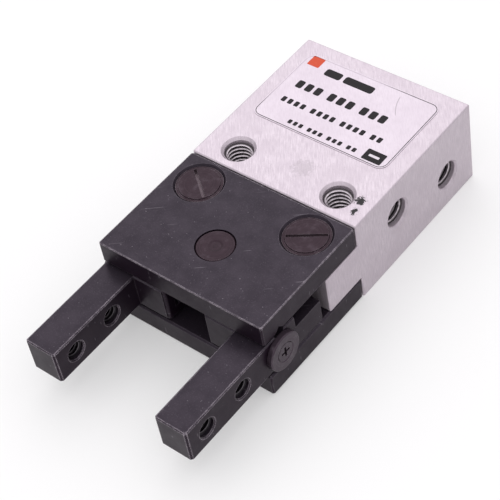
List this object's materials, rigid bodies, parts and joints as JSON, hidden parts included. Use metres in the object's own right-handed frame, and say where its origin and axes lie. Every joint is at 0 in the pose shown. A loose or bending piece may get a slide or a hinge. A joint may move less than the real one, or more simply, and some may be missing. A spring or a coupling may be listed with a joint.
{
  "type": "pneumatic gripper",
  "caption": "Small two-jaw parallel pneumatic gripper: aluminium cylinder body, dark steel guide plates, two sliding steel fingers with tapped jaws, normally open.",
  "frame": {"origin": "on the back (lower) face of the body, midway between the two mounting holes", "axes": "+X to the side with the air ports, along which the jaws open and close; the jaws point along -Y; +Z towards the face with the label"},
  "size_m": [0.021, 0.0448, 0.0101],
  "materials": {
    "anodised_aluminium": "fine milled and clear anodised, pale warm grey",
    "dark_steel": "hardened tool steel, dark oxide finish, edges worn bright",
    "screw_steel": "dark oxide turned steel",
    "bright_steel": "ground steel, bright",
    "spring_steel": "drawn spring wire",
    "seal_rubber": "moulded nitrile rubber, satin",
    "brass": "turned brass",
    "label_foil": "printed satin foil label"
  },
  "bodies": {
    "housing": {"body": "anodised_aluminium", "upper_guide_plate": "dark_steel", "lower_guide_plate": "dark_steel", "plate_screw_upper_left": "screw_steel", "plate_screw_upper_right": "screw_steel", "plate_screw_lower_left": "screw_steel", "plate_screw_lower_right": "screw_steel", "lever_shaft": "screw_steel", "head_cap": "anodised_aluminium", "head_cap_seal": "seal_rubber", "retaining_ring": "spring_steel", "piston_bumper": "seal_rubber", "rod_seal": "seal_rubber", "seal_washer": "brass", "return_spring": "spring_steel", "nameplate": "label_foil"},
    "piston": {"piston": "bright_steel", "piston_seal": "seal_rubber", "crosshead": "bright_steel", "crosshead_pin_right": "bright_steel", "crosshead_pin_left": "bright_steel"},
    "lever_right": {"lever_right": "bright_steel"},
    "lever_left": {"lever_left": "bright_steel"},
    "finger_right": {"finger_right": "dark_steel", "lever_pin_right": "bright_steel", "roller_stopper_right": "dark_steel", "stopper_screw_right": "screw_steel"},
    "finger_left": {"finger_left": "dark_steel", "lever_pin_left": "bright_steel", "roller_stopper_left": "dark_steel", "stopper_screw_left": "screw_steel"},
    "rollers_right": {"guide_roller_right_upper_1": "bright_steel", "guide_roller_right_upper_2": "bright_steel", "guide_roller_right_upper_3": "bright_steel", "guide_roller_right_lower_1": "bright_steel", "guide_roller_right_lower_2": "bright_steel", "guide_roller_right_lower_3": "bright_steel"},
    "rollers_left": {"guide_roller_left_upper_1": "bright_steel", "guide_roller_left_upper_2": "bright_steel", "guide_roller_left_upper_3": "bright_steel", "guide_roller_left_lower_1": "bright_steel", "guide_roller_left_lower_2": "bright_steel", "guide_roller_left_lower_3": "bright_steel"}
  },
  "joints": [
    {"name": "piston_slide", "type": "slide", "parent": "housing", "child": "piston", "axis": [0, -1, 0], "range_m": [0, 0.0016], "stiffness_N_per_m": 400, "springref_m": -0.002, "deforming": ["return_spring"]},
    {"name": "finger_right_slide", "type": "slide", "parent": "housing", "child": "finger_right", "axis": [-1, 0, 0], "range_m": [0, 0.002]},
    {"name": "finger_left_slide", "type": "slide", "parent": "housing", "child": "finger_left", "axis": [1, 0, 0], "range_m": [0, 0.002]},
    {"name": "lever_right_pivot", "type": "hinge", "parent": "housing", "child": "lever_right", "pos_m": [0, -0.01115, 0.005], "axis": [0, 0, -1], "range_deg": [0, 25.9]},
    {"name": "lever_left_pivot", "type": "hinge", "parent": "housing", "child": "lever_left", "pos_m": [0, -0.01115, 0.005], "axis": [0, 0, 1], "range_deg": [0, 25.9]},
    {"name": "rollers_right_slide", "type": "slide", "parent": "housing", "child": "rollers_right", "axis": [-1, 0, 0], "range_m": [0, 0.001]},
    {"name": "rollers_left_slide", "type": "slide", "parent": "housing", "child": "rollers_left", "axis": [1, 0, 0], "range_m": [0, 0.001]}
  ],
  "couplings": [
    {"joint": "finger_right_slide", "follows": "piston_slide", "ratio": 1.25},
    {"joint": "finger_left_slide", "follows": "piston_slide", "ratio": 1.25},
    {"joint": "lever_right_pivot", "follows": "piston_slide", "rad_per_m": 282.3},
    {"joint": "lever_left_pivot", "follows": "piston_slide", "rad_per_m": 282.3},
    {"joint": "rollers_right_slide", "follows": "piston_slide", "ratio": 0.625},
    {"joint": "rollers_left_slide", "follows": "piston_slide", "ratio": 0.625}
  ]
}
